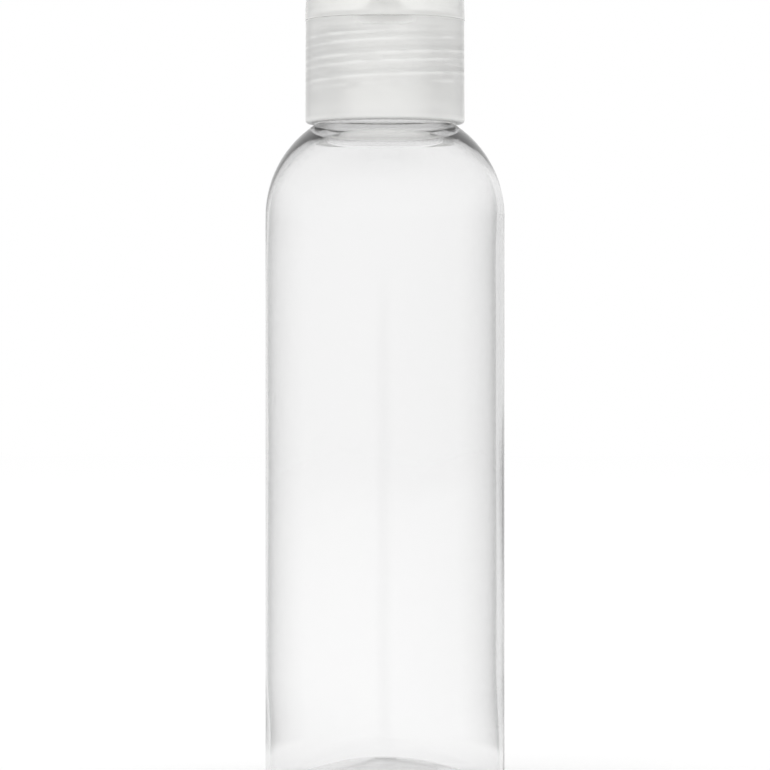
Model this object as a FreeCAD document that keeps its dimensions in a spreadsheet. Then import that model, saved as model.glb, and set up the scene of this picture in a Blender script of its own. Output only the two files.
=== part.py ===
# Small clear travel bottle with a screwed-on flip-top closure.
# Millimetres, +Z up, origin at the centre of the foot, +Y towards the hinge of the lid.
import FreeCAD, Part
import math
import os
import Sketcher

os.makedirs("parts", exist_ok=True)

DOC = FreeCAD.newDocument("TravelBottle")

# Driving sizes
SIZES = {
    # Bottle body and foot
    "body_radius": 17.5,
    "body_wall": 0.75,
    "heel_radius": 2.2,
    "foot_width": 0.8,
    "foot_rounding": 0.4,
    "punt_height": 3.3,
    "base_wall": 0.8,
    # Shoulder and the root of the neck
    "shoulder_height": 83.3,
    "shoulder_rise": 14.24,
    "root_depth": 1.8,
    "root_taper": 3.16,
    "neck_blend": 0.7,
    # Neck
    "neck_radius": 8.8,
    "neck_rise": 13.16,
    "neck_wall": 1.4,
    "rim_rounding": 0.25,
    # Seal under the deck
    "seal_thickness": 0.7,
    "seal_overlap": 0.2,
    "seal_gap": 0.45,
    # Skirt of the closure
    "thread_depth": 1.05,
    "thread_gap": 0.2,
    "skirt_wall": 1.6,
    "skirt_draft": 0.05,
    "skirt_rounding": 0.5,
    "skirt_lead": 0.5,
    "skirt_clearance": 0.36,
    # Deck, collar and spout
    "ledge_rise": 0.5,
    "ledge_width": 1.1,
    "collar_rise": 0.75,
    "deck_crown": 0.45,
    "spout_radius": 1.8,
    "spout_flare": 3.4,
    "flare_rise": 2.5,
    "flare_centre_rise": 1.0,
    "spout_tip_rise": 0.8,
    "spout_rounding": 0.2,
    "orifice_radius": 1.15,
    # Finger scoop under the front of the lid
    "scoop_depth": 0.9,
    "scoop_height": 1.4,
    "scoop_width": 14.0,
    # Lid
    "lid_seam": 0.1,
    "lid_gap": 0.25,
    "lid_wall": 0.95,
    "lid_draft": 0.2,
    "spout_headroom": 1.9,
    "lid_crown": 0.3,
    "lid_corner": 1.5,
    "lid_top_wall": 1.1,
    "cavity_draft": 0.15,
    "cavity_corner": 0.8,
    # Pin in the lid that stops the orifice
    "pin_root_gap": 0.05,
    "pin_tip_gap": 0.45,
    "pin_reach": 0.9,
    # Living hinge at the back
    "hinge_width": 9.0,
    "hinge_reach": 0.4,
    "hinge_depth": 2.0,
    "lug_height": 0.95,
    "lug_slope": 0.7,
    "lug_gap": 0.15,
    "web_thickness": 0.3,
    "web_groove": 0.1,
    "web_reach": 1.0,
    "web_inset": 0.3,
}


def fill_sheet():
    """Writes the driving sizes as aliased cells."""
    sheet = DOC.addObject("Spreadsheet::Sheet", "Sizes")
    for row, (name, value) in enumerate(SIZES.items(), start=1):
        sheet.set("A%d" % row, name)
        sheet.set("B%d" % row, str(value))
        sheet.setAlias("B%d" % row, name)
    DOC.recompute()
    return sheet


SHEET = fill_sheet()


def amount(words):
    """Adds up a sum of named sizes, such as 'body_radius - body_wall'."""
    total = 0.0
    sign = 1.0
    for word in words.split():
        if word == "+":
            sign = 1.0
        elif word == "-":
            sign = -1.0
        elif word == "0":
            continue
        else:
            total += sign * float(getattr(SHEET, word))
    return total


def formula(words):
    """Turns the same sum into an expression on the sheet."""
    named = [word if word in ("+", "-", "0") else "Sizes." + word for word in words.split()]
    return " ".join(named)


def length(item):
    """A coordinate as an expression with its present amount."""
    if isinstance(item, str):
        return formula(item), amount(item)
    return item


def raised(item, words):
    """The coordinate item with a further sum of sizes added to it."""
    text, value = length(item)
    return text + " + " + formula(words), value + amount(words)


# Levels that several pieces share
SHOULDER_TOP = "shoulder_height + shoulder_rise"
NECK_TOP = SHOULDER_TOP + " + neck_rise"
DECK_UNDERSIDE = NECK_TOP + " + seal_thickness"
SEAM = DECK_UNDERSIDE + " + ledge_rise"
COLLAR_TOP = SEAM + " + collar_rise"
CROWN_TOP = COLLAR_TOP + " + deck_crown"
FLARE_TOP = CROWN_TOP + " + flare_rise"
SPOUT_TIP = FLARE_TOP + " + spout_tip_rise"
LID_RIM = SEAM + " + lid_seam"
LID_CEILING = SPOUT_TIP + " + spout_headroom"
LID_TOP = LID_CEILING + " + lid_top_wall - lid_crown"

# Radii that several pieces share
NECK_BORE = "neck_radius - neck_wall"
SKIRT_BORE = "neck_radius + thread_depth + thread_gap"
SKIRT_RADIUS = SKIRT_BORE + " + skirt_wall"
SEAM_RADIUS = SKIRT_RADIUS + " - skirt_draft"
COLLAR_RADIUS = SEAM_RADIUS + " - ledge_width"
CAVITY_RADIUS = COLLAR_RADIUS + " + lid_gap"
LID_RADIUS = CAVITY_RADIUS + " + lid_wall"
HINGE_FACE = SEAM_RADIUS + " + hinge_reach"


def shoulder_surface(radius_words):
    """Height of the bottle's outer shoulder at a radius: an arc tangent to the body."""
    across = "(%s)" % formula("body_radius - neck_radius")
    rise = "Sizes.shoulder_rise"
    arc = "((%s^2 + %s^2) / (2 * %s))" % (across, rise, across)
    offset = "(%s - (Sizes.body_radius - %s))" % (formula(radius_words), arc)
    text = "Sizes.shoulder_height + sqrt(%s^2 - %s^2)" % (arc, offset)
    across_now = amount("body_radius - neck_radius")
    rise_now = amount("shoulder_rise")
    arc_now = (across_now ** 2 + rise_now ** 2) / (2 * across_now)
    offset_now = amount(radius_words) - (amount("body_radius") - arc_now)
    value = amount("shoulder_height") + math.sqrt(arc_now ** 2 - offset_now ** 2)
    return text, value


def make_body(name):
    """Starts a body whose label is the name of the piece."""
    body = DOC.addObject("PartDesign::Body", name)
    body.Label = name
    return body


def make_sketch(body, name, plane):
    """Places a sketch on one of the body's own origin planes."""
    sketch = body.newObject("Sketcher::SketchObject", name)
    for feature in body.Origin.OriginFeatures:
        if feature.Role == plane:
            sketch.AttachmentSupport = [(feature, "")]
    sketch.MapMode = "FlatFace"
    return sketch


def pin_point(sketch, element, end, across, up, left=False):
    """Holds one end of an element at its two coordinates."""
    for kind, item, axis in (("DistanceX", across, -2), ("DistanceY", up, -1)):
        if item == "0":
            sketch.addConstraint(Sketcher.Constraint("PointOnObject", element, end, axis))
            continue
        text, value = length(item)
        if left and kind == "DistanceX":
            rule = Sketcher.Constraint(kind, element, end, -1, 1, value)
        else:
            rule = Sketcher.Constraint(kind, -1, 1, element, end, value)
        index = sketch.addConstraint(rule)
        sketch.setExpression("Constraints[%d]" % index, text)


def arc_centre(start, finish, known):
    """Centre of the arc from start to finish that has one known coordinate."""
    axis, value = known
    across = finish[0] - start[0]
    up = finish[1] - start[1]
    middle = ((start[0] + finish[0]) / 2, (start[1] + finish[1]) / 2)
    if axis == "across":
        return value, middle[1] - (value - middle[0]) * across / up
    return middle[0] - (value - middle[1]) * up / across, value


def add_arc(sketch, start, finish, centre, turn):
    """Adds an arc and returns its index with the end numbers of start and finish."""
    first, last = (start, finish) if turn > 0 else (finish, start)
    begin = math.atan2(first[1] - centre[1], first[0] - centre[0])
    stop = math.atan2(last[1] - centre[1], last[0] - centre[0])
    if stop <= begin:
        stop += 2 * math.pi
    radius = math.hypot(first[0] - centre[0], first[1] - centre[1])
    middle = FreeCAD.Vector(centre[0], centre[1], 0)
    circle = Part.Circle(middle, FreeCAD.Vector(0, 0, 1), radius)
    index = sketch.addGeometry(Part.ArcOfCircle(circle, begin, stop), False)
    return index, (1, 2) if turn > 0 else (2, 1)


def draw_profile(sketch, points, arcs=None, left=False):
    """Draws a closed profile through points given as sums of sizes.

    arcs holds, by the number of the point where the arc starts, the coordinate that
    fixes its centre and the way it turns as drawn: +1 for counter-clockwise.
    """
    arcs = arcs or {}
    side = -1.0 if left else 1.0
    spots = [(side * length(across)[1], length(up)[1]) for across, up in points]
    elements = []
    for number, start in enumerate(spots):
        finish = spots[(number + 1) % len(spots)]
        if number in arcs:
            axis, item, turn = arcs[number]
            value = length(item)[1]
            if axis == "across":
                value *= side
            centre = arc_centre(start, finish, (axis, value))
            elements.append(add_arc(sketch, start, finish, centre, turn))
        else:
            line = Part.LineSegment(FreeCAD.Vector(*start, 0), FreeCAD.Vector(*finish, 0))
            elements.append((sketch.addGeometry(line, False), (1, 2)))
    for number, (element, ends) in enumerate(elements):
        after, after_ends = elements[(number + 1) % len(elements)]
        joint = Sketcher.Constraint("Coincident", element, ends[1], after, after_ends[0])
        sketch.addConstraint(joint)
    for number, (across, up) in enumerate(points):
        element, ends = elements[number]
        pin_point(sketch, element, ends[0], across, up, left)
    for number, (axis, item, turn) in arcs.items():
        hold_centre(sketch, elements[number][0], axis, item, left)


def hold_centre(sketch, element, axis, item, left):
    """Fixes one coordinate of an arc's centre."""
    if item == "0":
        line = -2 if axis == "across" else -1
        sketch.addConstraint(Sketcher.Constraint("PointOnObject", element, 3, line))
        return
    text, value = length(item)
    kind = "DistanceX" if axis == "across" else "DistanceY"
    if left and axis == "across":
        rule = Sketcher.Constraint(kind, element, 3, -1, 1, value)
    else:
        rule = Sketcher.Constraint(kind, -1, 1, element, 3, value)
    index = sketch.addConstraint(rule)
    sketch.setExpression("Constraints[%d]" % index, text)


def spin(body, name, kind, points, arcs=None):
    """Turns a half section about the vertical axis, to add or to cut."""
    sketch = make_sketch(body, name + "_section", "XZ_Plane")
    draw_profile(sketch, points, arcs)
    feature = body.newObject("PartDesign::" + kind, name)
    feature.Profile = sketch
    feature.ReferenceAxis = (sketch, ["V_Axis"])
    feature.Angle = 360
    DOC.recompute()
    return feature


def side_prism(body, name, kind, points, width, arcs=None, left=False):
    """Pads or cuts a side-view profile, centred on the middle plane."""
    sketch = make_sketch(body, name + "_outline", "YZ_Plane")
    draw_profile(sketch, points, arcs, left)
    feature = body.newObject("PartDesign::" + kind, name)
    feature.Profile = sketch
    feature.Type = "Length"
    feature.SideType = "Symmetric"
    feature.setExpression("Length", formula(width))
    DOC.recompute()
    return feature


def round_rings(body, name, size, rings):
    """Rounds the circular edges found at the given radius and height."""
    feature_before = body.Tip
    names = []
    for radius, level in rings:
        for number, edge in enumerate(feature_before.Shape.Edges, start=1):
            if edge.Degenerated or not isinstance(edge.Curve, Part.Circle):
                continue
            if abs(edge.Curve.Radius - length(radius)[1]) > 0.001:
                continue
            if abs(edge.Curve.Center.z - length(level)[1]) < 0.001:
                names.append("Edge%d" % number)
    if not names:
        raise RuntimeError("no edge to round for " + name)
    fillet = body.newObject("PartDesign::Fillet", name)
    fillet.Base = (feature_before, names)
    fillet.setExpression("Radius", formula(size))
    DOC.recompute()
    return fillet


def build_bottle():
    """One-piece blown bottle: push-up base, straight body, round shoulder, open neck."""
    body = make_body("bottle")
    inner_wall = "body_radius - body_wall"
    heel_centre = "body_radius - heel_radius"
    foot_inner = heel_centre + " - foot_width"
    root_bottom = SHOULDER_TOP + " - root_depth"
    points = [
        ("0", "punt_height"),
        (foot_inner, "0"),
        (heel_centre, "0"),
        ("body_radius", "heel_radius"),
        ("body_radius", "shoulder_height"),
        ("neck_radius", SHOULDER_TOP),
        ("neck_radius", NECK_TOP),
        (NECK_BORE, NECK_TOP),
        (NECK_BORE, root_bottom + " + root_taper"),
        ("neck_radius", root_bottom),
        (inner_wall, "shoulder_height"),
        (inner_wall, "heel_radius"),
        (heel_centre, "body_wall"),
        (foot_inner, "body_wall"),
        ("0", "punt_height + base_wall"),
    ]
    arcs = {
        0: ("across", "0", -1),
        2: ("across", heel_centre, 1),
        4: ("up", "shoulder_height", 1),
        9: ("up", "shoulder_height", -1),
        11: ("across", heel_centre, -1),
        13: ("across", "0", 1),
    }
    spin(body, "bottle_wall", "Revolution", points, arcs)
    round_rings(body, "rim_edges", "rim_rounding",
                [("neck_radius", NECK_TOP), (NECK_BORE, NECK_TOP)])
    round_rings(body, "neck_foot", "neck_blend", [("neck_radius", SHOULDER_TOP)])
    round_rings(body, "foot_edge", "foot_rounding", [(foot_inner, "0")])
    return body


def build_seal():
    """Flat washer clamped between the rim of the neck and the deck."""
    body = make_body("seal_ring")
    inner = NECK_BORE + " - seal_overlap"
    outer = SKIRT_BORE + " - seal_gap"
    points = [
        (inner, NECK_TOP),
        (outer, NECK_TOP),
        (outer, DECK_UNDERSIDE),
        (inner, DECK_UNDERSIDE),
    ]
    spin(body, "washer", "Revolution", points)
    return body


def build_closure():
    """Base of the closure: skirt, deck, collar, flared spout, hinge lug and finger scoop."""
    body = make_body("closure_body")
    foot_inner = SKIRT_BORE + " + skirt_lead"
    surface = shoulder_surface(foot_inner)
    skirt_bottom = raised(surface, "skirt_clearance")
    corner_centre = SKIRT_RADIUS + " - skirt_rounding"
    flare_radius = "spout_radius + spout_flare"
    points = [
        ("0", skirt_bottom),
        (corner_centre, skirt_bottom),
        (SKIRT_RADIUS, raised(skirt_bottom, "skirt_rounding")),
        (SEAM_RADIUS, SEAM),
        (COLLAR_RADIUS, SEAM),
        (COLLAR_RADIUS, COLLAR_TOP),
        (flare_radius, CROWN_TOP),
        ("spout_radius", FLARE_TOP),
        ("spout_radius", SPOUT_TIP),
        ("0", SPOUT_TIP),
    ]
    arcs = {
        1: ("across", corner_centre, 1),
        6: ("up", FLARE_TOP + " + flare_centre_rise", -1),
    }
    spin(body, "outer_form", "Revolution", points, arcs)
    lug_points = [
        (SEAM_RADIUS + " - hinge_depth", SEAM + " - lug_gap - lug_height - lug_slope"),
        (HINGE_FACE, SEAM + " - lug_gap - lug_height"),
        (HINGE_FACE, SEAM + " - lug_gap"),
        (SEAM_RADIUS + " - hinge_depth", SEAM + " - lug_gap"),
    ]
    side_prism(body, "lower_lug", "Pad", lug_points, "hinge_width")
    cavity = [
        ("0", skirt_bottom),
        (foot_inner, skirt_bottom),
        (SKIRT_BORE, raised(skirt_bottom, "skirt_lead")),
        (SKIRT_BORE, DECK_UNDERSIDE),
        ("orifice_radius", DECK_UNDERSIDE),
        ("orifice_radius", SPOUT_TIP),
        ("0", SPOUT_TIP),
    ]
    spin(body, "bore_and_orifice", "Groove", cavity)
    scoop_wall = SEAM_RADIUS + " - scoop_depth"
    scoop_points = [
        (scoop_wall, SEAM),
        (scoop_wall, SEAM + " - scoop_height + scoop_depth"),
        (SEAM_RADIUS, SEAM + " - scoop_height"),
        (SEAM_RADIUS + " + scoop_depth", SEAM + " - scoop_height"),
        (SEAM_RADIUS + " + scoop_depth", SEAM),
    ]
    scoop_arcs = {1: ("across", SEAM_RADIUS, -1)}
    side_prism(body, "finger_scoop", "Pocket", scoop_points, "scoop_width", scoop_arcs, left=True)
    round_rings(body, "spout_lip", "spout_rounding",
                [("spout_radius", SPOUT_TIP), ("orifice_radius", SPOUT_TIP)])
    return body


def build_lid():
    """Domed lid with its stopper pin and the upper lug of the hinge."""
    body = make_body("flip_lid")
    side_top = LID_RADIUS + " - lid_draft"
    points = [
        ("0", LID_RIM),
        (LID_RADIUS, LID_RIM),
        (side_top, LID_TOP + " - lid_corner"),
        (side_top + " - lid_corner", LID_TOP),
        ("0", LID_TOP + " + lid_crown"),
    ]
    arcs = {
        2: ("across", side_top + " - lid_corner", 1),
        3: ("across", "0", 1),
    }
    spin(body, "outer_form", "Revolution", points, arcs)
    lug_points = [
        (SEAM_RADIUS + " - hinge_depth", SEAM + " + lug_gap + lug_height + lug_slope"),
        (HINGE_FACE, SEAM + " + lug_gap + lug_height"),
        (HINGE_FACE, SEAM + " + lug_gap"),
        (SEAM_RADIUS + " - hinge_depth", SEAM + " + lug_gap"),
    ]
    side_prism(body, "upper_lug", "Pad", lug_points, "hinge_width")
    cavity_top = CAVITY_RADIUS + " - cavity_draft"
    cavity = [
        ("0", LID_RIM),
        (CAVITY_RADIUS, LID_RIM),
        (cavity_top, LID_CEILING + " - cavity_corner"),
        (cavity_top + " - cavity_corner", LID_CEILING),
        ("orifice_radius - pin_root_gap", LID_CEILING),
        ("orifice_radius - pin_tip_gap", SPOUT_TIP + " - pin_reach"),
        ("0", SPOUT_TIP + " - pin_reach"),
    ]
    cavity_arcs = {2: ("across", cavity_top + " - cavity_corner", 1)}
    spin(body, "inside_and_pin", "Groove", cavity, cavity_arcs)
    return body


def build_hinge():
    """Thin flexible web that ties the lid to the base, thinned along the fold."""
    body = make_body("living_hinge")
    back = HINGE_FACE + " + web_thickness"
    points = [
        (HINGE_FACE, SEAM + " - web_reach"),
        (back, SEAM + " - web_reach"),
        (back, SEAM + " - web_groove"),
        (back + " - web_groove", SEAM),
        (back, SEAM + " + web_groove"),
        (back, SEAM + " + web_reach"),
        (HINGE_FACE, SEAM + " + web_reach"),
    ]
    side_prism(body, "web", "Pad", points, "hinge_width - web_inset")
    return body


def check_document():
    """Stops if any object failed to compute."""
    for item in DOC.Objects:
        for state in item.State:
            if state in ("Invalid", "Error"):
                raise RuntimeError(item.Name + " did not compute")


def export_pieces(bodies):
    """Writes each piece to its own file after testing its shape."""
    for body in bodies:
        shape = body.Shape
        if shape.isNull() or not shape.isValid() or len(shape.Solids) != 1:
            raise RuntimeError(body.Label + " is not one valid solid")
        shape.exportStep("parts/" + body.Label + ".step")
        print(body.Label, round(shape.Volume, 2), "mm3", shape.BoundBox)


def main():
    bodies = [build_bottle(), build_seal(), build_closure(), build_lid(), build_hinge()]
    DOC.recompute()
    check_document()
    export_pieces(bodies)


main()
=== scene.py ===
import math

import bmesh
import bpy
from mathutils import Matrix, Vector, noise


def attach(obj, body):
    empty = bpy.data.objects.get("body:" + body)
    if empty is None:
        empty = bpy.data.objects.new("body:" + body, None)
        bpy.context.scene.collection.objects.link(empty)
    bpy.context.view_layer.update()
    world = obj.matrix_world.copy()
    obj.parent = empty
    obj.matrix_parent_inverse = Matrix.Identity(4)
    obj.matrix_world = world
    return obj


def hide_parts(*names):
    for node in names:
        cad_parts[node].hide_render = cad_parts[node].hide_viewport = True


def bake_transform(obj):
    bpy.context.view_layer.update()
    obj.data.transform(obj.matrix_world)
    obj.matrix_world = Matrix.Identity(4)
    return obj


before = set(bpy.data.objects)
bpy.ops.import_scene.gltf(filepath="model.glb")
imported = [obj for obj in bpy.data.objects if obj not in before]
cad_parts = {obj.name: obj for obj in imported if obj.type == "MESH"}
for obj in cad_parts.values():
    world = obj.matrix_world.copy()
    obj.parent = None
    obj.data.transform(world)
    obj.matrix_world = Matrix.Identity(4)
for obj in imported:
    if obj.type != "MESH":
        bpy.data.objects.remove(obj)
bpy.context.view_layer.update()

MM = 0.001
FRONT = -math.pi / 2

# Meshes: points round a turned piece, rows in one turn of a thread, steps round a corner,
# and the angle from which an edge shows as sharp
COLUMNS = 256
ROWS_PER_PITCH = 22
CORNER_STEPS = 4
SHARP_DEGREES = 32

# Points nearer than the first are joined, and edges shorter than the second are dropped
JOINED_DISTANCE = 0.0004
SLIVER_LENGTH = 0.0002

# Bottle; all sizes of the pieces are in millimetres
BODY_RADIUS = 17.5
INNER_RADIUS = 16.75
HEEL_RADIUS = 2.2
HEEL_CENTRE = 15.3
BASE_LEVEL = 0.75
SHOULDER = 83.3
SHOULDER_CENTRE = 1.5
INNER_SHOULDER_CENTRE = 3.042
NECK_RADIUS = 8.8
NECK_BORE = 7.4
NECK_TOP = 110.7
RIM_ROUNDING = 0.25
RIM_DEPTH = 0.4
ROOT_TOP = (NECK_BORE, 99.9)
ROOT_FOOT = (9.806, 95.223)

# Uneven wall: its sides are thicker and thinner by the first, and wavy by the second
SIDE_CHANGE = 0.36
WAVE_CHANGE = 0.06
WAVE_SCALE = 1.4
WAVE_CLIMB = 0.035
UNEVEN_FROM = 5.0
UNEVEN_RISE = 12.0
UNEVEN_TO = 93.0
UNEVEN_FALL = 18.0

# Seal
SEAL_INNER = 7.2
SEAL_OUTER = 9.6
SEAL_GAP = 0.01
SEAL_ROUNDING = 0.08

# Closure
DECK_UNDERSIDE = 111.4
SEAM = 111.9
SEAM_RADIUS = 11.6
SKIRT_RADIUS = 11.65
SKIRT_BORE = 10.05
SKIRT_FOOT = 96.857
SKIRT_EDGE = 0.5
COLLAR_RADIUS = 10.5
COLLAR_TOP = 112.65
ORIFICE_RADIUS = 1.15
SPOUT_RADIUS = 1.8
SPOUT_TIP = 116.4
SPOUT_ROUNDING = 0.2
LIP_DEPTH = 0.4
SCOOP_RADIUS = 10.7
SCOOP_FOOT = 110.5
SCOOP_OUTSIDE = 12.6
SCOOP_HALF_WIDTH = 7.0

# Lid: its rim is lower than the solid's, so that the seam is as narrow as in the photograph
LID_RIM = 111.92
LID_CEILING = 118.3
LID_TOP = 119.4

# Hinge: the lugs on closure and lid, and the web between them
HINGE_FACE = 12.0
HINGE_HALF_WIDTH = 4.5
LUG_GAP = 0.15
LUG_SLOPE = -0.29
LUG_EDGE = 0.12
LUG_BEVEL = 0.1
WEB_INSET = 0.15
WEB_THICKNESS = 0.3
WEB_REACH = 1.0
WEB_GROOVE = 0.1

# Threads: first, last and fade are in turns from the front, the others in millimetres
PITCH = 3.175
NECK_THREAD = {
    "start": 103.0,
    "first": -0.15,
    "last": 2.06,
    "fade": 0.09,
    "height": 1.05,
    "crest": 0.5,
    "foot": 1.05,
}
SKIRT_THREAD = {
    "start": 104.59,
    "first": -0.35,
    "last": 1.4,
    "fade": 0.09,
    "height": -0.6,
    "crest": 0.2,
    "foot": 1.2,
}

# Clear plastic: shares of a coat that only shades, down to its tone where the share is 1
CLEAR_IOR = 1.575
CLEAR_DENSITY = 27.0
CLEAR_COAT_TONE = 0.85
OUTER_SHARE = 0.1
WALL_SHARE = 0.75
MIRRORED_SHARE = 0.85
NECK_SHARE = 0.6
LINE_SHARE = 0.055
# Darker tint of the outer wall at the neck's root, a painted shade
ROOT_SHADE_TONE = 0.6

# Frosted plastic: milk is the share of its skin that scatters light and lets none through
FROSTED_IOR = 1.49
FROSTED_DENSITY = 1.5
FROSTED_COAT_TONE = 0.925
FROSTED_TINTS = ((0.988, 0.988, 0.972, 1), (1.0, 1.0, 0.986, 1))
INSIDE_SHARE = 0.1
SKIN_MILK = 0.55
# Extra milk along the thread, which paints highlight lines into the skin
HIGHLIGHT_MILK = 0.42
DECK_MILK = 0.15
HEM_MILK = 0.2

# Painted highlight lines along the thread: their level at the front, and their distance from it in
# turns
HIGHLIGHT_LEVEL = 102.72
HIGHLIGHT_SPREAD = 0.189

FOAM_TINTS = ((0.86, 0.86, 0.85, 1), (0.96, 0.96, 0.95, 1))

# Studio: places and sizes are in metres, the lens in millimetres
CAMERA_PLACE = (0, -0.643, 0.0586)
CAMERA_LENS = 205.3
LAMP_AIM = (0, 0, 0.06)
LAMP_SIZE = 1.8
WORLD_LIGHT = 0.92
FLOOR_HALF = 3.0
FLOOR_LEVEL = -0.00002
FLOOR_TONE = 0.75
FLOOR_GLOW = 0.3


# Profiles: points are (radius, height)


def smooth_step(value):
    """0 up to 0 and 1 from 1 on, with a smooth rise between."""
    share = min(1.0, max(0.0, value))
    return share * share * (3 - 2 * share)


def arc(centre, start, end, steps):
    """Points on the short arc from start to end about centre."""
    first = math.atan2(start[1] - centre[1], start[0] - centre[0])
    last = math.atan2(end[1] - centre[1], end[0] - centre[0])
    turn = (last - first + math.pi) % (2 * math.pi) - math.pi
    radius = math.dist(centre, start)
    points = []
    for step in range(steps + 1):
        angle = first + turn * step / steps
        points.append((centre[0] + radius * math.cos(angle), centre[1] + radius * math.sin(angle)))
    return points


def dome(start, end, steps):
    """Points on an arc whose centre lies on the axis."""
    rise = start[1] - end[1]
    reach = end[0] ** 2 - start[0] ** 2
    level = (start[1] ** 2 - end[1] ** 2 - reach) / (2 * rise)
    return arc((0.0, level), start, end, steps)


def softened(points, radius):
    """The middle one of three points as a rounded corner."""
    before, corner, after = [Vector(point) for point in points]
    back = (before - corner).normalized()
    ahead = (after - corner).normalized()
    half = back.angle(ahead) / 2
    reach = radius / math.tan(half)
    centre = corner + (back + ahead).normalized() * (radius / math.sin(half))
    return arc(centre, corner + back * reach, corner + ahead * reach, CORNER_STEPS)


def rounded(points):
    """A line through the points; a third number in a point rounds its corner."""
    line = []
    for number, point in enumerate(points):
        if len(point) == 2:
            line.append(point)
            continue
        before = points[number - 1][:2]
        after = points[(number + 1) % len(points)][:2]
        line.extend(softened((before, point[:2], after), point[2]))
    return line


def divided(points, longest):
    """The same line with no run longer than asked."""
    line = [points[0]]
    for start, end in zip(points, points[1:]):
        parts = max(1, math.ceil(math.dist(start, end) / longest))
        for part in range(1, parts + 1):
            share = part / parts
            radius = start[0] + (end[0] - start[0]) * share
            line.append((radius, start[1] + (end[1] - start[1]) * share))
    return line


# Turned meshes: a row has one (radius, height) for each column


def angle_at(column):
    return FRONT + 2 * math.pi * column / COLUMNS


def rings(points, change=None):
    """Level rows; change moves a point's radius by its height and angle."""
    rows = []
    for radius, height in points:
        row = []
        for column in range(COLUMNS):
            moved = radius
            if change and radius > 0:
                moved += change(height, angle_at(column))
            row.append((moved, height))
        rows.append(row)
    return rows


def ridge_height(distance, thread):
    """Height of a thread at a distance from the middle of its crest."""
    share = (thread["foot"] - abs(distance)) / (thread["foot"] - thread["crest"])
    return thread["height"] * smooth_step(share)


def thread_rows(radius, bottom, top, thread):
    """Rows that climb with the thread, so that its ridge runs along them."""
    step = PITCH / ROWS_PER_PITCH
    turns_below = math.floor((bottom - thread["start"]) / PITCH) - 1
    turns_above = math.ceil((top - thread["start"]) / PITCH)
    rows = []
    for number in range(turns_below * ROWS_PER_PITCH, turns_above * ROWS_PER_PITCH + 1):
        row = []
        nearest = round(number / ROWS_PER_PITCH)
        ridge = ridge_height(number * step - nearest * PITCH, thread)
        for column in range(COLUMNS):
            turn = column / COLUMNS
            height = thread["start"] + number * step + turn * PITCH
            if height <= bottom or height >= top:
                row.append((radius, min(top, max(bottom, height))))
                continue
            travelled = nearest + turn
            inside = min(travelled - thread["first"], thread["last"] - travelled)
            row.append((radius + ridge * smooth_step(inside / thread["fade"]), height))
        rows.append(row)
    return rows


def join_rows(faces, lower, upper, column, climb=0):
    """Adds the face right of a column between two rows. The last column meets the first."""
    right = (column + 1) % COLUMNS
    lift = climb if right == 0 else 0
    corners = [(lower, column), (lower + lift, right), (upper + lift, right), (upper, column)]
    faces.append([row * COLUMNS + point for row, point in corners])


def strip_faces(strips):
    """Faces of all strips. A strip's climb is the number of rows it gains in one turn."""
    faces = []
    total = 0
    for strip, climb in strips:
        first = total
        total += len(strip)
        if first:
            for column in range(COLUMNS):
                join_rows(faces, first - 1, first, column)
        for number in range(first, total - 1):
            for column in range(COLUMNS):
                if column == COLUMNS - 1 and number + climb + 1 >= total:
                    continue
                join_rows(faces, number, number + 1, column, climb)
    return faces


def row_points(rows):
    """Points in metres from rows of (radius, height)."""
    points = []
    for row in rows:
        for column, (radius, height) in enumerate(row):
            across = radius * math.cos(angle_at(column))
            along = radius * math.sin(angle_at(column))
            points.append((across * MM, along * MM, height * MM))
    return points


def turned(name, strips, closed):
    """Object from strips of rows; a closed one has its last row joined to its first."""
    rows = [row for strip, climb in strips for row in strip]
    faces = strip_faces(strips)
    if closed:
        for column in range(COLUMNS):
            join_rows(faces, len(rows) - 1, 0, column)
    return mesh_object(name, row_points(rows), faces)


def mesh_object(name, vertices, faces):
    """Object whose points are joined where they fall together, with all faces outwards."""
    mesh = bpy.data.meshes.new(name)
    mesh.from_pydata(vertices, [], faces)
    work = bmesh.new()
    work.from_mesh(mesh)
    bmesh.ops.remove_doubles(work, verts=work.verts, dist=JOINED_DISTANCE * MM)
    bmesh.ops.dissolve_degenerate(work, edges=work.edges, dist=SLIVER_LENGTH * MM)
    bmesh.ops.recalc_face_normals(work, faces=work.faces)
    work.to_mesh(mesh)
    work.free()
    return add_object(name, mesh)


def add_object(name, data):
    piece = bpy.data.objects.new(name, data)
    bpy.context.scene.collection.objects.link(piece)
    return piece


def combine(piece, tool, operation):
    """Adds the tool's volume to the piece, or cuts it away."""
    modifier = piece.modifiers.new(operation.lower(), "BOOLEAN")
    modifier.operation = operation
    modifier.object = tool
    modifier.solver = "EXACT"
    shown = piece.evaluated_get(bpy.context.evaluated_depsgraph_get())
    mesh = bpy.data.meshes.new_from_object(shown)
    piece.modifiers.clear()
    piece.data = mesh
    bpy.data.objects.remove(tool)


def smooth_shading(piece):
    mesh = piece.data
    mesh.polygons.foreach_set("use_smooth", [True] * len(mesh.polygons))
    mesh.set_sharp_from_angle(angle=math.radians(SHARP_DEGREES))
    mesh.update()


def extruded(name, outline, columns):
    """Closed block. outline(x) gives the loop of (y, z) points at each x."""
    loops = [outline(x) for x in columns]
    count = len(loops[0])
    vertices = []
    for x, loop in zip(columns, loops):
        vertices.extend((x * MM, y * MM, z * MM) for y, z in loop)
    faces = []
    for number in range(len(columns) - 1):
        for point in range(count):
            after = (point + 1) % count
            here = number * count
            faces.append([here + point, here + after, here + count + after, here + count + point])
    faces.append(list(range(count)))
    faces.append([(len(columns) - 1) * count + point for point in range(count)])
    return mesh_object(name, vertices, faces)


def even_steps(low, high, parts):
    return [low + (high - low) * part / parts for part in range(parts + 1)]


# Bottle


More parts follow.
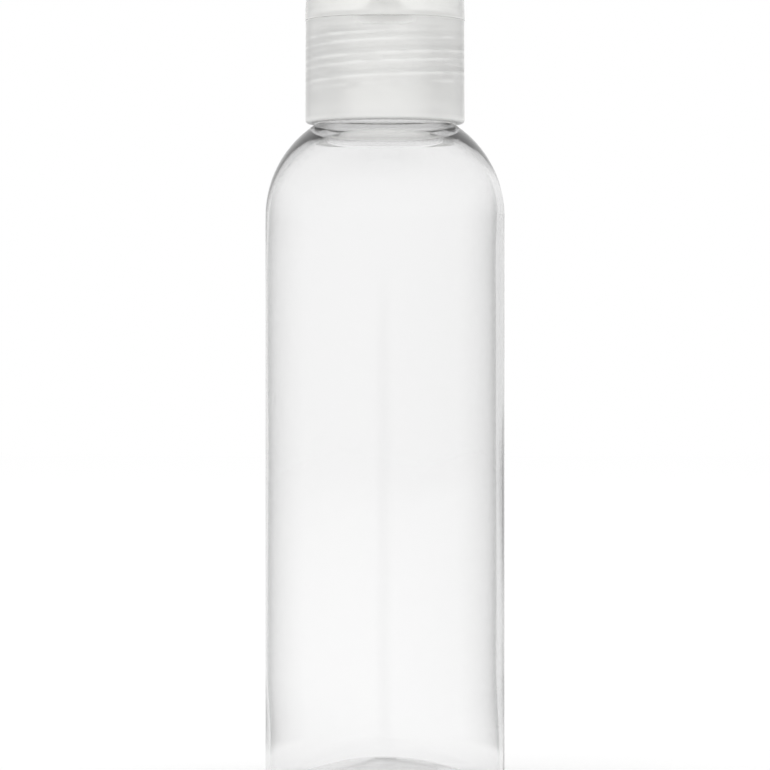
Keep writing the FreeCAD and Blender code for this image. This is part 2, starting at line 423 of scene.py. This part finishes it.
def wall_change(height, angle):
    """Blown walls are not quite even: thicker on one side and slowly wavy."""
    side = SIDE_CHANGE * math.cos(angle)
    point = Vector((math.cos(angle), math.sin(angle), height * WAVE_CLIMB)) * WAVE_SCALE
    wave = WAVE_CHANGE * noise.noise(point)
    low = smooth_step((height - UNEVEN_FROM) / UNEVEN_RISE)
    high = smooth_step((UNEVEN_TO - height) / UNEVEN_FALL)
    return -(side + wave) * low * high


def bottle_outside():
    """From the gate mark over push-up, foot and wall up to the neck's root."""
    gate_mark = [(0.0, 3.05), (1.1, 3.05), (1.35, 3.2)]
    push_up = dome((1.6, 3.262), (14.2, 0.133), 26)
    foot = softened(((13.6, 0.38), (14.5, 0.0), (HEEL_CENTRE, 0.0)), 0.4)
    heel = arc((HEEL_CENTRE, HEEL_RADIUS), (HEEL_CENTRE, 0.0), (BODY_RADIUS, HEEL_RADIUS), 14)
    wall = divided([heel[-1], (BODY_RADIUS, SHOULDER)], 2.4)[1:-1]
    shoulder = arc((SHOULDER_CENTRE, SHOULDER), (BODY_RADIUS, SHOULDER), (9.1, 97.37), 44)
    root = softened(((9.32, 97.23), (NECK_RADIUS, 97.54), (NECK_RADIUS, 99.0)), 0.7)
    return gate_mark + push_up + foot + heel + wall + shoulder + root


def bottle_inside():
    """From just under the rim down the bore and wall to the middle of the base."""
    centre = (INNER_SHOULDER_CENTRE, SHOULDER)
    heel_centre = (HEEL_CENTRE, HEEL_RADIUS)
    heel_top = (INNER_RADIUS, HEEL_RADIUS)
    bore = divided([(NECK_BORE, NECK_TOP - RIM_DEPTH), ROOT_TOP], 1.2)[1:]
    root = rounded([ROOT_TOP, (NECK_BORE, 98.9, 0.8), (NECK_RADIUS, 95.74, 0.8), ROOT_FOOT])[1:]
    shoulder = arc(centre, ROOT_FOOT, (INNER_RADIUS, SHOULDER), 34)[1:]
    wall = divided([(INNER_RADIUS, SHOULDER), heel_top], 2.4)[1:]
    heel = arc(heel_centre, heel_top, (HEEL_CENTRE, BASE_LEVEL), 12)[1:]
    base = dome((0.0, 4.1), (14.5, BASE_LEVEL), 26)
    return bore + root + shoulder + wall + heel + list(reversed(base))


def build_bottle():
    neck_end = NECK_TOP - 0.3
    rim = rounded([
        (NECK_RADIUS, neck_end),
        (NECK_RADIUS, NECK_TOP, RIM_ROUNDING),
        (NECK_BORE, NECK_TOP, RIM_ROUNDING),
        (NECK_BORE, NECK_TOP - RIM_DEPTH),
    ])
    strips = [
        (rings(bottle_outside()), 0),
        (thread_rows(NECK_RADIUS, 98.6, neck_end, NECK_THREAD), ROWS_PER_PITCH),
        (rings(rim), 0),
        (rings(bottle_inside(), wall_change), 0),
    ]
    return turned("bottle_shell", strips, closed=False)


def build_seal():
    bottom = NECK_TOP + SEAL_GAP
    top = DECK_UNDERSIDE - SEAL_GAP
    corners = [(SEAL_INNER, bottom), (SEAL_OUTER, bottom), (SEAL_OUTER, top), (SEAL_INNER, top)]
    profile = rounded([(radius, height, SEAL_ROUNDING) for radius, height in corners])
    return turned("seal_washer", [(rings(profile), 0)], closed=True)


# Closure


def hinge_lug(name, root_radius, low, high):
    """Block that joins the round wall to the flat face behind the hinge.

    low and high are each the level at that face and the slope of the lower and upper side.
    """

    def outline(x):
        inner = math.sqrt(root_radius ** 2 - x ** 2)
        back = inner - HINGE_FACE
        return [
            (inner, low[0] + low[1] * back),
            (HINGE_FACE - LUG_EDGE, low[0] - low[1] * LUG_EDGE),
            (HINGE_FACE, low[0] + LUG_BEVEL),
            (HINGE_FACE, high[0] - LUG_BEVEL),
            (HINGE_FACE - LUG_EDGE, high[0] - high[1] * LUG_EDGE),
            (inner, high[0] + high[1] * back),
        ]

    return extruded(name, outline, even_steps(-HINGE_HALF_WIDTH, HINGE_HALF_WIDTH, 24))


def finger_scoop():
    """Tool for the shallow recess under the lid's front edge."""
    centre = (-SEAM_RADIUS, DECK_UNDERSIDE)
    curve = arc(centre, (-SCOOP_RADIUS, DECK_UNDERSIDE), (-SEAM_RADIUS, SCOOP_FOOT), 10)
    top = SEAM + 0.15
    loop = [(-SCOOP_RADIUS, top)] + curve
    loop += [(-SCOOP_OUTSIDE, SCOOP_FOOT), (-SCOOP_OUTSIDE, top)]
    return extruded("scoop_tool", lambda x: loop, [-SCOOP_HALF_WIDTH, SCOOP_HALF_WIDTH])


def spout_and_deck():
    """From the spout's lip down its flare and over the deck to the collar's foot."""
    flare_foot = (5.2, 113.1)
    deck_edge = (10.2, 112.69)
    lip = rounded([
        (ORIFICE_RADIUS, SPOUT_TIP - LIP_DEPTH),
        (ORIFICE_RADIUS, SPOUT_TIP, SPOUT_ROUNDING),
        (SPOUT_RADIUS, SPOUT_TIP, SPOUT_ROUNDING),
        (SPOUT_RADIUS, SPOUT_TIP - 0.5),
    ])
    flare = arc((5.154, 116.6), (SPOUT_RADIUS, SPOUT_TIP - 0.8), flare_foot, 20)
    deck = divided([flare_foot, deck_edge], 0.8)[1:]
    collar = softened((deck_edge, (COLLAR_RADIUS, COLLAR_TOP), (COLLAR_RADIUS, 112.2)), 0.12)
    return lip + flare + deck + collar + [(COLLAR_RADIUS, 112.1), (COLLAR_RADIUS, SEAM)]


def ledge_and_skirt():
    """From the ledge down the skirt and round its foot to the lead-in of its bore."""
    foot_top = SKIRT_FOOT + SKIRT_EDGE
    centre = (SKIRT_RADIUS - SKIRT_EDGE, foot_top)
    ledge = softened(((COLLAR_RADIUS, SEAM), (SEAM_RADIUS, SEAM), (SEAM_RADIUS, 111.0)), 0.03)
    skirt = divided([(11.601, 111.5), (SKIRT_RADIUS, foot_top)], 0.9)
    foot = arc(centre, (SKIRT_RADIUS, foot_top), (SKIRT_RADIUS - SKIRT_EDGE, SKIRT_FOOT), 6)[1:]
    lead_in = [(SKIRT_BORE + SKIRT_EDGE, SKIRT_FOOT), (SKIRT_BORE, foot_top)]
    return ledge + skirt + foot + lead_in


def build_closure():
    middle = (ORIFICE_RADIUS, DECK_UNDERSIDE)
    ceiling = divided([(SKIRT_BORE, DECK_UNDERSIDE), middle], 0.9)
    orifice = divided([middle, (ORIFICE_RADIUS, SPOUT_TIP - LIP_DEPTH)], 0.6)[1:-1]
    strips = [
        (rings(spout_and_deck() + ledge_and_skirt()), 0),
        (thread_rows(SKIRT_BORE, 98.0, 111.0, SKIRT_THREAD), ROWS_PER_PITCH),
        (rings(ceiling + orifice), 0),
    ]
    closure = turned("closure_base", strips, closed=True)
    lug = hinge_lug("lower_lug", 10.9, (110.8, LUG_SLOPE), (SEAM - LUG_GAP, 0.0))
    combine(closure, lug, "UNION")
    combine(closure, finger_scoop(), "DIFFERENCE")
    return closure


def lid_outside():
    """From the middle of the top down to the rim and round it."""
    crown = dome((0.0, LID_TOP), (10.0, 119.1), 20)
    corner = arc((10.0, 117.6), (10.0, 119.1), (11.5, 117.6), 10)[1:]
    side = divided([(11.5, 117.6), (11.69, 112.3)], 0.7)[1:]
    rim = rounded([(11.69, 112.3), (11.7, LID_RIM, 0.03), (10.75, LID_RIM, 0.1), (10.745, 112.3)])
    return crown + corner + side + rim[1:-1]


def lid_inside():
    """From the rim up to the ceiling and down the stopper pin."""
    wall = divided([(10.745, 112.3), (10.6, 117.5)], 0.7)
    ceiling = arc((9.8, 117.5), (10.6, 117.5), (9.8, LID_CEILING), 6)[1:]
    ceiling += divided([(9.8, LID_CEILING), (1.3, LID_CEILING)], 0.9)[1:]
    pin = rounded([(1.3, LID_CEILING), (1.1, LID_CEILING, 0.12), (0.7, 115.5, 0.2), (0.0, 115.5)])
    return wall + ceiling + pin[1:]


def build_lid():
    lid = turned("flip_top", [(rings(lid_outside() + lid_inside()), 0)], closed=False)
    lug = hinge_lug("upper_lug", 11.2, (SEAM + LUG_GAP, 0.0), (113.0, LUG_SLOPE))
    combine(lid, lug, "UNION")
    return lid


def build_hinge():
    """Thin strap with a groove along its fold."""
    half = HINGE_HALF_WIDTH - WEB_INSET
    levels = even_steps(SEAM - WEB_REACH, SEAM - 0.2, 6)
    levels += even_steps(SEAM - 0.16, SEAM + 0.16, 16)
    levels += even_steps(SEAM + 0.2, SEAM + WEB_REACH, 6)

    def outline(x):
        outer = []
        for level in levels:
            away = abs(level - SEAM)
            groove = max(0.0, WEB_GROOVE - away)
            rounding = max(0.0, away - 0.85) * 0.6
            outer.append((HINGE_FACE + WEB_THICKNESS - groove - rounding, level))
        inner = [(HINGE_FACE + 0.01, level) for level in reversed(levels)]
        return outer + inner

    return extruded("hinge_strap", outline, even_steps(-half, half, 12))


# Nodes


class Nodes:
    """Empties a tree and adds nodes to it. A value given to a node is a socket or plain."""

    def __init__(self, tree):
        self.tree = tree
        self.tree.nodes.clear()

    def add(self, kind, **values):
        """New node; a value goes to the input of that name, or else to the setting."""
        node = self.tree.nodes.new("ShaderNode" + kind)
        for name, value in values.items():
            if name in node.inputs:
                self.give(node, name, value)
            else:
                setattr(node, name, value)
        return node

    def give(self, node, name, value):
        """Links an input to a socket, or sets it to a plain value."""
        if isinstance(value, bpy.types.NodeSocket):
            self.tree.links.new(value, node.inputs[name])
        else:
            node.inputs[name].default_value = value

    def math(self, operation, first, *others):
        """One step of arithmetic, or the same step with one value after the other."""
        result = first
        for other in others:
            node = self.add("Math", operation=operation)
            self.give(node, 0, result)
            self.give(node, 1, other)
            result = node.outputs["Value"]
        return result

    def function(self, operation, value):
        node = self.add("Math", operation=operation)
        self.give(node, 0, value)
        return node.outputs["Value"]

    def product(self, *factors):
        return self.math("MULTIPLY", *factors)

    def total(self, *parts):
        return self.math("ADD", *parts)

    def highest(self, *values):
        return self.math("MAXIMUM", *values)

    def difference(self, first, second):
        return self.math("SUBTRACT", first, second)

    def distance(self, first, second):
        return self.function("ABSOLUTE", self.difference(first, second))

    def hypotenuse(self, first, second):
        squares = self.total(self.product(first, first), self.product(second, second))
        return self.function("SQRT", squares)

    def remap(self, source, low, high, start=0.3, end=0.7):
        """low up to start and high from end on, with an even change between."""
        node = self.add("MapRange", Value=source)
        self.give(node, "From Min", start)
        self.give(node, "From Max", end)
        self.give(node, "To Min", low)
        self.give(node, "To Max", high)
        return node.outputs["Result"]

    def rise(self, source, start, end, high=1.0, low=0.0):
        """low up to start and high from end on, which are in millimetres."""
        return self.remap(source, low, high, start * MM, end * MM)

    def fall(self, source, start, end, high=1.0, low=0.0):
        """high up to start and low from end on, which are in millimetres."""
        return self.remap(source, high, low, start * MM, end * MM)

    def noise(self, scale, detail, stretch=(1, 1, 1)):
        """Noise in the piece's own space, stretched along its axes."""
        place = self.add("TexCoord").outputs["Object"]
        mapping = self.add("Mapping", Vector=place, Scale=stretch)
        vector = mapping.outputs["Vector"]
        return self.add("TexNoise", Vector=vector, Scale=scale, Detail=detail).outputs["Fac"]

    def bump(self, height, distance):
        """Normal from a height; the distance is in millimetres."""
        return self.add("Bump", Height=height, Distance=distance * MM).outputs["Normal"]

    def between(self, share, colours):
        """The first colour at a share of 0, the second at 1."""
        mix = self.add("MixRGB", Fac=share, Color1=colours[0], Color2=colours[1])
        return mix.outputs["Color"]


def grey(level):
    return (level, level, level, 1)


def place_sockets(nodes):
    """Height, distance from the axis and angle about it, in the piece's own space."""
    parts = nodes.add("SeparateXYZ", Vector=nodes.add("TexCoord").outputs["Object"])
    across, along, height = [parts.outputs[name] for name in ("X", "Y", "Z")]
    return height, nodes.hypotenuse(across, along), nodes.math("ARCTAN2", along, across)


def light_from_air(nodes):
    """1 where a ray meets the plastic from the air, 0 where it comes from within."""
    return nodes.difference(1.0, nodes.add("NewGeometry").outputs["Backfacing"])


def new_material(name):
    """Empty material with its nodes and its output."""
    material = bpy.data.materials.new(name)
    material.use_nodes = True
    nodes = Nodes(material.node_tree)
    return material, nodes, nodes.add("OutputMaterial")


def plastic_shader(nodes, output, ior, coat_tone, density):
    """Shader with a coat that only shades, round plastic that absorbs a little light."""
    shader = nodes.add("BsdfPrincipled", IOR=ior)
    nodes.give(shader, "Coat Roughness", 0.0)
    nodes.give(shader, "Coat IOR", 1.0)
    nodes.give(shader, "Coat Tint", grey(coat_tone))
    volume = nodes.add("VolumeAbsorption", Density=density, Color=grey(0.0))
    nodes.give(output, "Surface", shader.outputs["BSDF"])
    nodes.give(output, "Volume", volume.outputs["Volume"])
    return shader


# Clear plastic


def inner_side(nodes, height, reach):
    """1 on the inner side of the wall and shoulder, 0 on the outer."""
    across = nodes.difference(reach, SHOULDER_CENTRE * MM)
    above = nodes.highest(nodes.difference(height, SHOULDER * MM), 0.0)
    return nodes.fall(nodes.hypotenuse(across, above), 15.75, 15.85)


def coat_share(nodes, height, inner, from_air):
    """How much the wall is shaded: most on its inner side, where it turns away from sight."""
    facing = nodes.add("LayerWeight").outputs["Facing"]
    from_plastic = nodes.difference(1.0, from_air)
    seen = nodes.product(from_air, nodes.remap(facing, 0.0, WALL_SHARE, 0.18, 0.75))
    mirrored = nodes.product(from_plastic, nodes.remap(facing, 0.0, MIRRORED_SHARE, 0.2, 0.235))
    wall = nodes.product(nodes.total(seen, mirrored), inner)
    above_base = nodes.rise(height, 4.5, 6.0)
    below_neck = nodes.fall(height, 95.5, 98.5)
    below_shoulder = nodes.fall(height, 83.0, 88.5, 1.0, 0.2)
    wall = nodes.product(wall, above_base, below_neck, below_shoulder)
    rest = nodes.product(below_neck, OUTER_SHARE)
    edge = nodes.remap(facing, 0.0, NECK_SHARE, 0.2, 0.6)
    neck = nodes.product(edge, nodes.rise(height, 98.5, 99.5))
    return nodes.highest(wall, rest, neck)


def parting_line(nodes, height, reach, angle):
    """1 along the faint line where the halves of the blow mould met, front and back."""
    across = nodes.product(reach, nodes.function("COSINE", angle))
    line = nodes.fall(nodes.function("ABSOLUTE", across), 0.3, 1.4)
    above_heel = nodes.rise(height, 4.0, 10.0)
    below_shoulder = nodes.fall(height, 64.0, 77.0)
    return nodes.product(line, above_heel, below_shoulder)


def neck_root_shade(nodes, height):
    """1 in two bands where the wall turns from the shoulder into the neck, tinted darker as
    painted shade.
    """
    bottom = nodes.rise(height, 93.3, 93.8)
    top = nodes.fall(height, 97.2, 97.6)
    off_middle = nodes.rise(nodes.distance(height, 94.9 * MM), 0.2, 0.8, 1.0, 0.1)
    return nodes.product(bottom, top, off_middle)


def clear_plastic():
    material, nodes, output = new_material("clear_pet_look")
    shader = plastic_shader(nodes, output, CLEAR_IOR, CLEAR_COAT_TONE, CLEAR_DENSITY)
    nodes.give(shader, "Transmission Weight", 1.0)
    height, reach, angle = place_sockets(nodes)
    inner = inner_side(nodes, height, reach)
    from_air = light_from_air(nodes)
    outer = nodes.highest(nodes.difference(from_air, inner), 0.0)
    # Painted shade: the outer wall is tinted darker in two bands at the neck's root
    root = nodes.product(neck_root_shade(nodes, height), outer)
    nodes.give(shader, "Base Color", nodes.between(root, (grey(1.0), grey(ROOT_SHADE_TONE))))
    line = nodes.product(parting_line(nodes, height, reach, angle), LINE_SHARE)
    share = nodes.total(coat_share(nodes, height, inner, from_air), line)
    nodes.give(shader, "Coat Weight", share)
    haze = nodes.noise(400, 3)
    nodes.give(shader, "Roughness", nodes.remap(haze, 0.0, 0.04))
    flow = nodes.noise(90, 2, (1, 1, 0.12))
    nodes.give(shader, "Normal", nodes.bump(flow, 0.04))
    return material


# Frosted plastic


def painted_thread_highlights(nodes, height, angle):
    """1 along the two edges of the thread, where paler lines in the wall are a painted highlight.
    """
    turn = nodes.math("DIVIDE", nodes.difference(angle, FRONT), 2 * math.pi)
    level = nodes.difference(height, HIGHLIGHT_LEVEL * MM)
    climbed = nodes.math("DIVIDE", level, PITCH * MM)
    phase = nodes.difference(climbed, turn)
    away = nodes.distance(phase, nodes.function("ROUND", phase))
    highlight = nodes.remap(nodes.distance(away, HIGHLIGHT_SPREAD), 1.0, 0.0, 0.0, 0.13)
    bottom = nodes.rise(height, 101.2, 102.2)
    top = nodes.fall(height, 109.5, 110.5)
    strength = nodes.remap(nodes.noise(250, 2, (1, 1, 3)), 0.4, 1.0, 0.4, 0.58)
    return nodes.product(highlight, bottom, top, strength)


def skirt_side(nodes, height, reach):
    """1 on the outer side of the skirt and in its scoop."""
    outside = nodes.rise(reach, 10.55, 10.62)
    below_seam = nodes.fall(height, SEAM + 0.01, SEAM + 0.03)
    return nodes.product(outside, below_seam)


def outer_skin(nodes, height, reach, skirt):
    """1 on the outer sides of closure and lid and on the lid's top, less on deck and spout."""
    wall = nodes.rise(reach, 11.1, 11.3)
    crown = nodes.rise(height, 118.35, 118.5)
    inside_collar = nodes.fall(reach, 10.2, 10.5)
    above_deck = nodes.rise(height, 112.2, 112.5)
    below_tip = nodes.fall(height, 116.4, 117.0, 0.6)
    deck = nodes.product(inside_collar, above_deck, below_tip)
    return nodes.highest(wall, skirt, crown, deck)


def milk_share(nodes, height, angle):
    """How milky the skin is: more beside the deck and at the hem, and along the thread as a
    painted highlight.
    """
    highlights = nodes.product(painted_thread_highlights(nodes, height, angle), HIGHLIGHT_MILK)
    above_thread = nodes.rise(height, 109.8, 110.8)
    below_spout = nodes.fall(height, 112.4, 113.4)
    deck = nodes.product(above_thread, below_spout, DECK_MILK)
    hem = nodes.fall(height, 98.5, 100.0, HEM_MILK)
    return nodes.math("MINIMUM", nodes.total(highlights, SKIN_MILK, deck, hem), 1.0)


def skin_shade(nodes, height, reach, skin, skirt):
    """How much the skin is shaded: less in the scoop, on the crown, at the foot and seam."""
    scoop = nodes.product(skirt, nodes.fall(reach, 11.48, 11.55, 0.9))
    facing = nodes.add("LayerWeight").outputs["Facing"]
    below_crown = nodes.fall(height, 117.5, 118.5, 1.0, 0.2)
    above_foot = nodes.rise(height, 97.1, 97.9, 1.0, 0.1)
    not_grazing = nodes.remap(facing, 1.0, 0.1, 0.7, 0.9)
    not_straight = nodes.remap(facing, 0.5, 1.0, 0.02, 0.2)
    shade = nodes.difference(skin, scoop)
    shade = nodes.product(shade, below_crown, above_foot, not_grazing, not_straight)
    off_seam = nodes.rise(nodes.distance(height, SEAM * MM), 0.08, 0.25, 1.0, 0.4)
    return nodes.product(nodes.highest(shade, INSIDE_SHARE), off_seam)


def frosted_plastic():
    material, nodes, output = new_material("frosted_pp_look")
    shader = plastic_shader(nodes, output, FROSTED_IOR, FROSTED_COAT_TONE, FROSTED_DENSITY)
    height, reach, angle = place_sockets(nodes)
    skirt = skirt_side(nodes, height, reach)
    skin = nodes.product(outer_skin(nodes, height, reach, skirt), light_from_air(nodes))
    milk = nodes.product(milk_share(nodes, height, angle), skin)
    nodes.give(shader, "Transmission Weight", nodes.difference(1.0, milk))
    nodes.give(shader, "Coat Weight", skin_shade(nodes, height, reach, skin, skirt))
    cloud = nodes.noise(260, 4)
    nodes.give(shader, "Base Color", nodes.between(cloud, FROSTED_TINTS))
    smoother_lid = nodes.rise(height, SEAM - 0.01, SEAM + 0.02, 0.15)
    roughness = nodes.difference(nodes.remap(cloud, 0.32, 0.4), smoother_lid)
    nodes.give(shader, "Roughness", roughness)
    nodes.give(shader, "Normal", nodes.bump(nodes.noise(6000, 2), 0.003))
    return material


def foam():
    material, nodes, output = new_material("seal_foam_look")
    cells = nodes.noise(5000, 3)
    pits = nodes.bump(cells, 0.05)
    shader = nodes.add("BsdfPrincipled", Roughness=0.7, Normal=pits)
    nodes.give(shader, "Base Color", nodes.between(cells, FOAM_TINTS))
    nodes.give(output, "Surface", shader.outputs["BSDF"])
    return material


# Setting


def white_rays(nodes):
    """1 for rays from the camera and for those that pass or mirror in the plastic."""
    path = nodes.add("LightPath")
    kinds = ("Is Camera Ray", "Is Glossy Ray", "Is Transmission Ray")
    return nodes.highest(*[path.outputs[kind] for kind in kinds])


def build_world():
    """Soft light all round, behind a background that is plain white."""
    world = bpy.data.worlds.new("studio")
    world.use_nodes = True
    nodes = Nodes(world.node_tree)
    light = nodes.add("Background", Color=grey(1.0), Strength=WORLD_LIGHT)
    white = nodes.add("Background", Color=grey(1.0), Strength=1.0)
    mix = nodes.add("MixShader", Fac=white_rays(nodes))
    nodes.give(mix, 1, light.outputs["Background"])
    nodes.give(mix, 2, white.outputs["Background"])
    nodes.add("OutputWorld", Surface=mix.outputs["Shader"])
    bpy.context.scene.world = world


def build_floor():
    """Pale floor that looks nearly white and keeps the object's shadow."""
    signs = [(-1, -1), (1, -1), (1, 1), (-1, 1)]
    corners = [(across * FLOOR_HALF, along * FLOOR_HALF, 0) for across, along in signs]
    mesh = bpy.data.meshes.new("floor")
    mesh.from_pydata(corners, [], [[0, 1, 2, 3]])
    floor = add_object("floor", mesh)
    floor.location.z = FLOOR_LEVEL
    material, nodes, output = new_material("pale_floor")
    paper = nodes.add("BsdfDiffuse", Color=grey(FLOOR_TONE))
    glow = nodes.add("Emission", Color=grey(FLOOR_GLOW), Strength=white_rays(nodes))
    both = nodes.add("AddShader")
    nodes.give(both, 0, paper.outputs["BSDF"])
    nodes.give(both, 1, glow.outputs["Emission"])
    nodes.give(output, "Surface", both.outputs["Shader"])
    mesh.materials.append(material)


def add_lamp(name, place, power):
    """Soft lamp that isn't mirrored in the plastic."""
    light = bpy.data.lights.new(name, "AREA")
    light.size = LAMP_SIZE
    light.energy = power
    lamp = add_object(name, light)
    lamp.location = place
    aim = Vector(LAMP_AIM) - Vector(place)
    lamp.rotation_euler = aim.to_track_quat("-Z", "Y").to_euler()
    lamp.visible_glossy = False
    lamp.visible_transmission = False


def add_camera():
    data = bpy.data.cameras.new("camera")
    data.sensor_width = 36.0
    data.lens = CAMERA_LENS
    data.clip_start = 0.01
    camera = add_object("camera", data)
    camera.location = CAMERA_PLACE
    camera.rotation_euler = (math.pi / 2, 0, 0)
    bpy.context.scene.camera = camera


def set_up_scene():
    scene = bpy.context.scene
    scene.view_settings.view_transform = "Standard"
    scene.cycles.max_bounces = 32
    scene.cycles.transmission_bounces = 32
    scene.cycles.glossy_bounces = 12
    scene.cycles.diffuse_bounces = 16
    add_camera()
    build_world()
    build_floor()
    add_lamp("key", (-1.0, -1.0, 1.1), 4.5)
    add_lamp("fill", (1.3, -0.6, 0.8), 2.2)


def finish_piece(piece, material, node):
    smooth_shading(piece)
    piece.data.materials.clear()
    piece.data.materials.append(material)
    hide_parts(node)


def main():
    set_up_scene()
    pet = clear_plastic()
    polypropylene = frosted_plastic()
    bottle = build_bottle()
    finish_piece(bottle, pet, "bottle")
    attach(bottle, "bottle")
    seal = build_seal()
    finish_piece(seal, foam(), "seal_ring")
    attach(seal, "seal")
    closure = build_closure()
    finish_piece(closure, polypropylene, "closure_body")
    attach(closure, "closure")
    lid = build_lid()
    finish_piece(lid, polypropylene, "flip_lid")
    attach(lid, "lid")
    strap = build_hinge()
    finish_piece(strap, polypropylene, "living_hinge")
    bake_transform(strap)


main()
